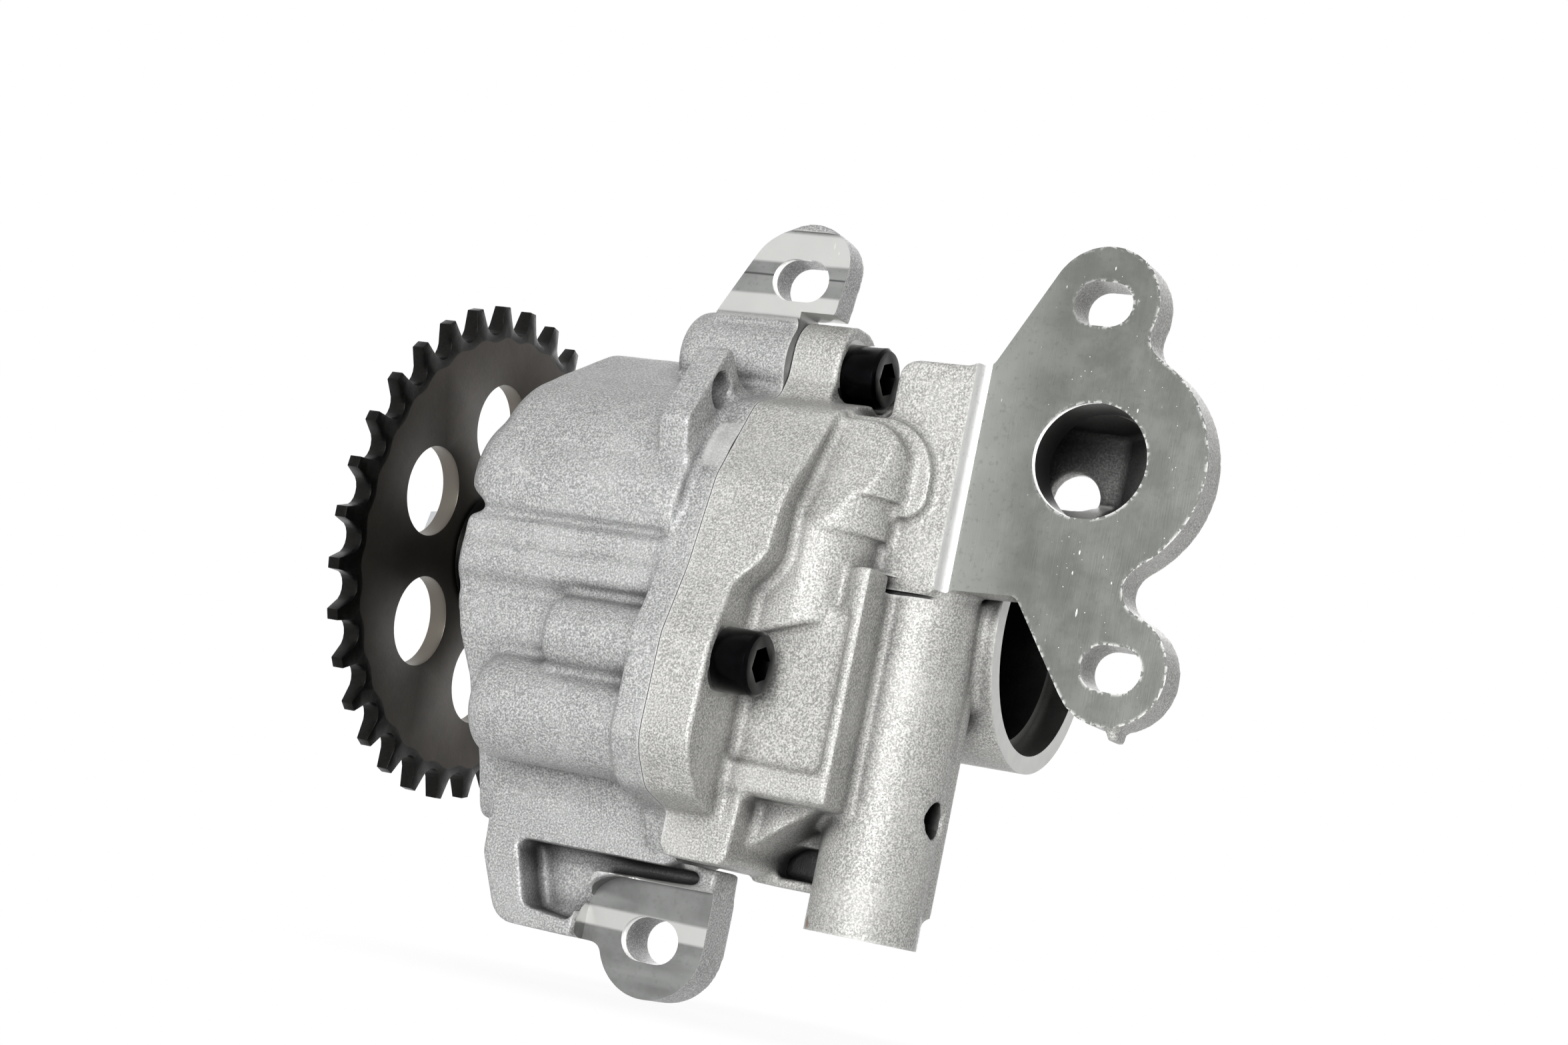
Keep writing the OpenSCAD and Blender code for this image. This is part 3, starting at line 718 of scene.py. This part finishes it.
def case_casting():
    """The case's solid with stock on its milled faces and plugs in its holes."""
    bm = merged_copy("pump_housing")
    for height in (TOP_FACE_END, TOP_FACE_FOOT, LOW_FACE_TOP):
        split_at(bm, height)
    raise_stock(bm, "y", PAD, -STOCK, on_ears)
    raise_stock(bm, "x", SEAM, STOCK)
    outside = SEAM + STOCK
    for centre in (DRIVE_AXIS, IDLER_AXIS):
        rod(bm, centre, CHAMBER_PLUG_R, "x", CHAMBER_START - PLUG_END, outside)
    rod(bm, DRIVE_AXIS, BUSH_R + PLUG_MARGIN, "x", NOSE_PLUG_START, CHAMBER_START)
    rod(bm, IDLER_AXIS, IDLER_R + PLUG_MARGIN, "x", CHAMBER_START - IDLER_DEPTH - PLUG_END, CHAMBER_START)
    for centre in COVER_SCREWS + DOWELS:
        rod(bm, centre, DOWEL_R + PLUG_MARGIN, "x", SEAM - TAPPED_DEPTH - PLUG_END, outside)
    for centre in PORT_POCKETS:
        rod(bm, centre, POCKET_R + PLUG_MARGIN, "x", SEAM - POCKET_DEPTH - PLUG_END, outside)
    for centre, depth in zip(EAR_SLOTS, EAR_PLUG_DEPTHS):
        slot(bm, centre, *SLOT_PLUG, PAD - STOCK, PAD + depth)
    return bm


def case_cutters():
    """What is milled, bored and drilled in the cast case."""
    joint_face = rectangle(-60, -45.9, 40, 43.75)
    top_pad = rectangle(40, TOP_FACE_FOOT, 80, TOP_FACE_END + FILLET)
    left, foot, right = 48.5, -72, 78
    inner_corner = arc((54.5, -55.8), 6, 180, 90, 8)
    bottom_pad = [(left, foot), *inner_corner, (right, LOW_FACE_TOP), (right, foot)]
    in_front, behind_ears = PAD - CLEAR, PAD + 16
    highlight_shift, highlight_depth = 0.5, 0.7
    in_joint = SEAM + PAST
    return [
        cutter("joint_face", MILLED_INDEX, outline_prism, joint_face, "x", SEAM, SEAM + CLEAR),
        cutter("top_pad", MILLED_INDEX, outline_prism, top_pad, "y", in_front, PAD),
        cutter("bottom_pad", MILLED_INDEX, outline_prism, bottom_pad, "y", in_front, PAD),
        # Painted highlight: a shifted ring leaves a bright crescent on one side of each ear slot
        *[cutter("slot_edge", HIGHLIGHT_INDEX, slot, (x - highlight_shift, z), *SLOT, in_front, PAD + highlight_depth)
          for x, z in EAR_SLOTS],
        *[cutter("ear_slot", CAST_INDEX, slot, centre, *SLOT, in_front, behind_ears) for centre in EAR_SLOTS],
        *drills("nose_bore", [DRIVE_AXIS], BUSH_R, NOSE_START, CHAMBER_START + LAP),
        *drills("shaft_hole", [IDLER_AXIS], IDLER_R, CHAMBER_START - IDLER_DEPTH, CHAMBER_START + LAP),
        *drills("chamber", [DRIVE_AXIS, IDLER_AXIS], CHAMBER_R, CHAMBER_START, in_joint),
        *drills("tapped_hole", COVER_SCREWS, TAPPED_R, SEAM - TAPPED_DEPTH, in_joint),
        *drills("dowel_hole", DOWELS, DOWEL_R, SEAM - CASE_DOWEL_DEPTH, in_joint),
        *drills("port_pocket", PORT_POCKETS, POCKET_R, SEAM - POCKET_DEPTH, in_joint),
    ]


def pump_case():
    piece = to_object(case_casting(), "gear_case", [CAST_CASE, MILLED_EAR, TURNED, PAINTED_HIGHLIGHT])
    round_as_cast(piece, SOFT_NOSE)
    cut(piece, case_cutters())
    stand_for(piece, ["pump_housing"], "casing")


# Cover with the flange, valve tube and suction spigot

LID_NODES = ["pump_cover", "outlet_flange", "suction_spigot"]
NUBS = [(116.2, 57.8), (128.5, -15.2)]
NUB_R = 0.9
NUB_SIDES = 24
STEP = 2.6
MILL_FRONT = PAD - 5
MILL_TOP = 65
JOINT_GAP = 0.12


def run_out(bm):
    """Hollow curve in which the milled face runs out beside the duct, as the mill leaves it."""
    left, wide, foot = FLANGE_EDGE + 0.2, 1.4, -4.6
    quarter = [math.radians(step * 9) for step in range(11)]
    curve = [(left + wide * (1 - math.cos(a)), PAD - STEP + STEP * math.sin(a)) for a in quarter]
    outline_prism(bm, [(left, MILL_FRONT), *curve, (left + wide, MILL_FRONT)], "z", foot, MILL_TOP)


def milled_step(bm):
    """Space in front of the flange."""
    foot, right = -26, 150
    corners = [(MILLED_EDGE, MILL_TOP), (MILLED_EDGE, foot), (right, foot), (right, MILL_TOP)]
    outline_prism(bm, corners, "y", MILL_FRONT, PAD)


def trimmed_flash(bm):
    """Flat left along the duct's lower edge where the flash was trimmed off."""
    front, face_top, face_foot = -24, -22.62, -22.15
    corners = [(front, 3.1), (face_top, 3.1), (face_foot, 1.1), (face_foot, 0.4), (front, 0.4)]
    outline_prism(bm, corners, "x", 86.5, DUCT_END)


def parting_groove(bm):
    """Narrow gap between the duct's lower edge and the tube."""
    left = 85.5
    outline_prism(bm, [(left, 0.3), (DUCT_END, 0.7), (DUCT_END, 1.1), (left, 1.2)], "y", PAD - 4, PAD - 0.8)


def lid_shells():
    """The cover's three solids as closed shells that reach a little into each other."""
    stock = {
        "pump_cover": [("x", SEAM, -STOCK), ("z", VALVE_BOTTOM, -STOCK)],
        "outlet_flange": [("x", FLANGE_EDGE, -SINK), ("y", PAD, -STEP)],
        "suction_spigot": [("x", SPIGOT_FLOOR, -SINK), ("x", SUCTION.x, STOCK)],
    }
    whole = bmesh.new()
    for node in LID_NODES:
        bm = merged_copy(node)
        for axis, level, distance in stock[node]:
            raise_stock(bm, axis, level, distance)
        shell = bpy.data.meshes.new(node)
        bm.to_mesh(shell)
        whole.from_mesh(shell)
        bpy.data.meshes.remove(shell)
        bm.free()
    return whole


def lid_casting():
    """The cover's shells with plugs in their holes and two small nubs on the flange's rim."""
    bm = lid_shells()
    outside = SEAM - STOCK
    in_front, outlet_plug_end = PAD - STEP, PAD + 7
    nub_front, nub_back = PAD + 0.8, PAD + 5.5
    rod(bm, OUTLET_AXIS, OUTLET_R + SINK, "y", in_front, outlet_plug_end)
    rod(bm, SUCTION_AXIS, SUCTION_R + SINK, "x", SPIGOT_FLOOR - SINK, SUCTION.x + STOCK)
    rod(bm, DRIVE_AXIS, BUSH_R + PLUG_MARGIN, "x", outside, BUSH_END + PLUG_MARGIN)
    rod(bm, IDLER_AXIS, IDLER_R + PLUG_MARGIN, "x", outside, SEAM + IDLER_DEPTH + PLUG_MARGIN)
    for centre in COVER_SCREWS + DOWELS:
        rod(bm, centre, DOWEL_R + PLUG_MARGIN, "x", outside, SEAT)
    for centre in PORT_POCKETS:
        rod(bm, centre, POCKET_R + PLUG_MARGIN, "x", outside, SPIGOT_FLOOR + PLUG_END)
    for centre in FLANGE_SLOTS:
        slot(bm, centre, *SLOT_PLUG, in_front, PAD + FLANGE_PLUG_DEPTH)
    for centre in NUBS:
        rod(bm, centre, NUB_R, "y", nub_front, nub_back, NUB_SIDES)
    rod(bm, VALVE, VALVE_PLUG_R, "z", VALVE_BOTTOM - STOCK, VALVE_TOP + SINK)
    return bm


def lid_cutters():
    """What is milled, bored and drilled in the cast cover, and the small marks beside its duct."""
    joint_face = rectangle(-60, -60, 40, 60)
    dimple, dimple_r, dimple_y = (86.0, -2.9), 1.9, (PAD - 4, PAD + 3)
    highlight_shift, highlight_depth = 0.3, 0.5
    in_front, behind_flange = PAD - CLEAR, PAD + 12
    in_joint, beyond_spigot, under_tube = SEAM - PAST, SUCTION.x + CLEAR, VALVE_BOTTOM - CLEAR
    groove_r, groove_foot, groove_top = VALVE_R + 0.6, VALVE_BOTTOM + 1, VALVE_BOTTOM + 2.2
    past_spigot_r, past_tube_r = 23, 12
    valve_x, valve_y = VALVE
    return [
        cutter("joint_face", MILLED_INDEX, outline_prism, joint_face, "x", SEAM - CLEAR, SEAM + JOINT_GAP),
        # Painted highlight: the run-out strip is near white
        cutter("strip", HIGHLIGHT_INDEX, run_out),
        cutter("pad", MILLED_INDEX, milled_step),
        cutter("flash", CAST_INDEX, trimmed_flash),
        cutter("groove", CAST_INDEX, parting_groove),
        cutter("dimple", CAST_INDEX, rod, dimple, dimple_r, "y", *dimple_y),
        # Painted highlight: a shifted ring leaves a bright crescent on one side of the outlet bore
        cutter("bore_edge", HIGHLIGHT_INDEX, rod, (OUTLET.x - highlight_shift, OUTLET.z), OUTLET_R,
               "y", in_front, PAD + highlight_depth),
        *drills("spigot_end", [SUCTION_AXIS], past_spigot_r, SUCTION.x, beyond_spigot),
        cutter("tube_end", BORED_INDEX, rod, VALVE, past_tube_r, "z", under_tube, VALVE_BOTTOM),
        cutter("outlet_bore", BORED_INDEX, rod, OUTLET_AXIS, OUTLET_R, "y", in_front, PAD + OUTLET_DEPTH),
        *drills("spigot_bore", [SUCTION_AXIS], SPIGOT_R, SPIGOT_FLOOR, beyond_spigot),
        *drills("spigot_mouth", [SUCTION_AXIS], SUCTION_R, SPIGOT_STEP, beyond_spigot),
        *[cutter("pad_slot", CAST_INDEX, slot, centre, *SLOT, in_front, behind_flange)
          for centre in FLANGE_SLOTS],
        *drills("screw_seat", COVER_SCREWS, SEAT_R, SEAT, SEAT + SEAT_DEPTH),
        *drills("screw_hole", COVER_SCREWS, SCREW_R, in_joint, SEAT + LAP),
        *drills("dowel_hole", DOWELS, DOWEL_R, in_joint, SEAM + LID_DOWEL_DEPTH),
        *drills("shaft_hole", [DRIVE_AXIS], BUSH_R, in_joint, BUSH_END),
        *drills("idler_hole", [IDLER_AXIS], IDLER_R, in_joint, SEAM + IDLER_DEPTH),
        *drills("port_pocket", PORT_POCKETS, POCKET_R, in_joint, SPIGOT_FLOOR + LAP),
        cutter("valve_bore", BORED_INDEX, rod, VALVE, VALVE_R, "z", under_tube, VALVE_TOP),
        *drills("vent", [(valve_y, VENT_HEIGHT)], VENT_R, valve_x, valve_x + VENT_REACH),
        cutter("clip_groove", BORED_INDEX, rod, VALVE, groove_r, "z", groove_foot, groove_top),
    ]


def pump_lid():
    piece = to_object(lid_casting(), "valve_cover", [CAST_COVER, MILLED, TURNED, PAINTED_HIGHLIGHT])
    round_as_cast(piece)
    cut(piece, lid_cutters())
    stand_for(piece, LID_NODES, "casing")


# Parts that are turned, stamped or bought in


def dressed(node, name, body, material, edge):
    """The node's own shape with small broken edges and smooth round faces."""
    piece = to_object(merged_copy(node), name, [material])
    modify(piece, "BEVEL", width=edge * MM, segments=2, limit_method="ANGLE", angle_limit=BROKEN_ANGLE)
    bake(piece)
    stand_for(piece, [node], body)


pump_case()
pump_lid()
dressed("sprocket", "chain_wheel", "drive_rotor", DISC, 0.12)
dressed("sprocket_bolt", "hub_bolt", "drive_rotor", ZINC, 0.25)
dressed("sprocket_washer", "hub_washer", "drive_rotor", ZINC, 0.2)
dressed("drive_shaft", "pump_shaft", "drive_rotor", STEEL, 0.2)
for node in ("upper_cover_screw", "lower_cover_screw", "rear_cover_screws"):
    dressed(node, node + "_black", "casing", BLACK, 0.22)
INNER = {
    "drive_gear": SINTERED, "idler_gear": SINTERED, "drive_gear_key": STEEL, "idler_shaft": STEEL,
    "idler_bush": BRONZE, "front_bush": BRONZE, "rear_bush": BRONZE, "dowel_sleeves": STEEL,
    "relief_piston": STEEL, "relief_spring": WIRE, "relief_cap": STEEL, "relief_circlip": WIRE,
}
for node, material in INNER.items():
    shown = frame["nodes"][node]
    shown.data.materials.clear()
    shown.data.materials.append(material)

# Camera where the photograph was taken from, and its directions in the drawing
SENSOR_MM = 36.0
FOCAL_MM = 66.18
NEAREST_SEEN = 0.01
EYE = Vector((274.6, -420.5, -51.2))
RIGHT = Vector((0.8832, 0.4237, 0.2011))
DOWN = Vector((0.1206, 0.2092, -0.9704))
AHEAD = Vector((-0.4532, 0.8813, 0.1337))

camera = bpy.data.objects.new("camera", bpy.data.cameras.new("camera"))
bpy.context.collection.objects.link(camera)
scene.camera = camera
camera.data.sensor_width = SENSOR_MM
camera.data.lens = FOCAL_MM
camera.data.clip_start = NEAREST_SEEN
turn = Matrix((RIGHT, -DOWN, -AHEAD)).transposed()
camera.matrix_world = Matrix.Translation(TO_FRAME @ EYE) @ turn.to_4x4()

# Room

# Square lamps: name, place in the drawing, side in metres and power in watts
LAMPS = [
    ("key", (190, -540, 20), 0.3, 3.4),
    ("right", (570, -143, 90), 0.3, 0.08),
    ("left", (-360, -300, 60), 0.4, 0.05),
    ("top", (60, -60, 520), 0.4, 0.06),
    ("back", (-60, 480, 120), 0.4, 1.5),
]
MIDDLE = (75, -10, 0)
SKY_LIGHT = 0.05
WHITE = 1.0
FLOOR_SIZE = 3000
FLOOR_GAP = 0.2
SHADOW_SEEN = 0.08


def lamp(name, place, side, power):
    """A soft square lamp that points at the middle of the pump."""
    data = bpy.data.lights.new(name, "AREA")
    data.size = side
    data.energy = power
    light = bpy.data.objects.new(name, data)
    bpy.context.collection.objects.link(light)
    spot = TO_FRAME @ Vector(place)
    light.location = spot
    light.rotation_euler = (TO_FRAME @ Vector(MIDDLE) - spot).to_track_quat("-Z", "Y").to_euler()


for row in LAMPS:
    lamp(*row)


def background_share(tree):
    """1 for the rays that show the background: those of the camera, of gloss and of glass."""
    rays = tree.nodes.new("ShaderNodeLightPath").outputs
    kinds = ("Camera", "Glossy", "Transmission")
    seen, glossy, through = (Value(tree, rays[f"Is {kind} Ray"]) for kind in kinds)
    return seen.math("MAXIMUM", seen, glossy.math("MAXIMUM", glossy, through))


world = bpy.data.worlds.new("studio")
scene.world = world
world.use_nodes = True
sky = world.node_tree
strength = sky.nodes.new("ShaderNodeMapRange")
sky.links.new(background_share(sky).socket, strength.inputs["Value"])
strength.inputs["To Min"].default_value = SKY_LIGHT
strength.inputs["To Max"].default_value = WHITE
backdrop = sky.nodes["Background"]
backdrop.inputs["Color"].default_value = (1, 1, 1, 1)
sky.links.new(strength.outputs[0], backdrop.inputs["Strength"])

lowest = (cad_box[0][2] - DATUM.z) / MM
floor_shape = bmesh.new()
bmesh.ops.create_grid(floor_shape, x_segments=1, y_segments=1, size=FLOOR_SIZE)
bmesh.ops.translate(floor_shape, verts=floor_shape.verts, vec=(0, 0, lowest - FLOOR_GAP))
pale = Finish("pale_floor")
pale.done(Base_Color=(0.9, 0.9, 0.9, 1), Roughness=0.8)
east, north, _ = pale.axes(MIDDLE)
distance = (east * east + north * north) ** 0.5
plain_share = (1 - SHADOW_SEEN) + SHADOW_SEEN * distance.above(30, 80)
glow = pale.node("ShaderNodeEmission")
blend = pale.node("ShaderNodeMixShader", Fac=background_share(pale.tree) * plain_share)
pale.tree.links.new(pale.shader.outputs[0], blend.inputs[1])
pale.tree.links.new(glow.outputs[0], blend.inputs[2])
pale.tree.links.new(blend.outputs[0], pale.tree.nodes["Material Output"].inputs["Surface"])
floor = to_object(floor_shape, "floor", [pale.material])

scene.view_settings.view_transform = "Standard"
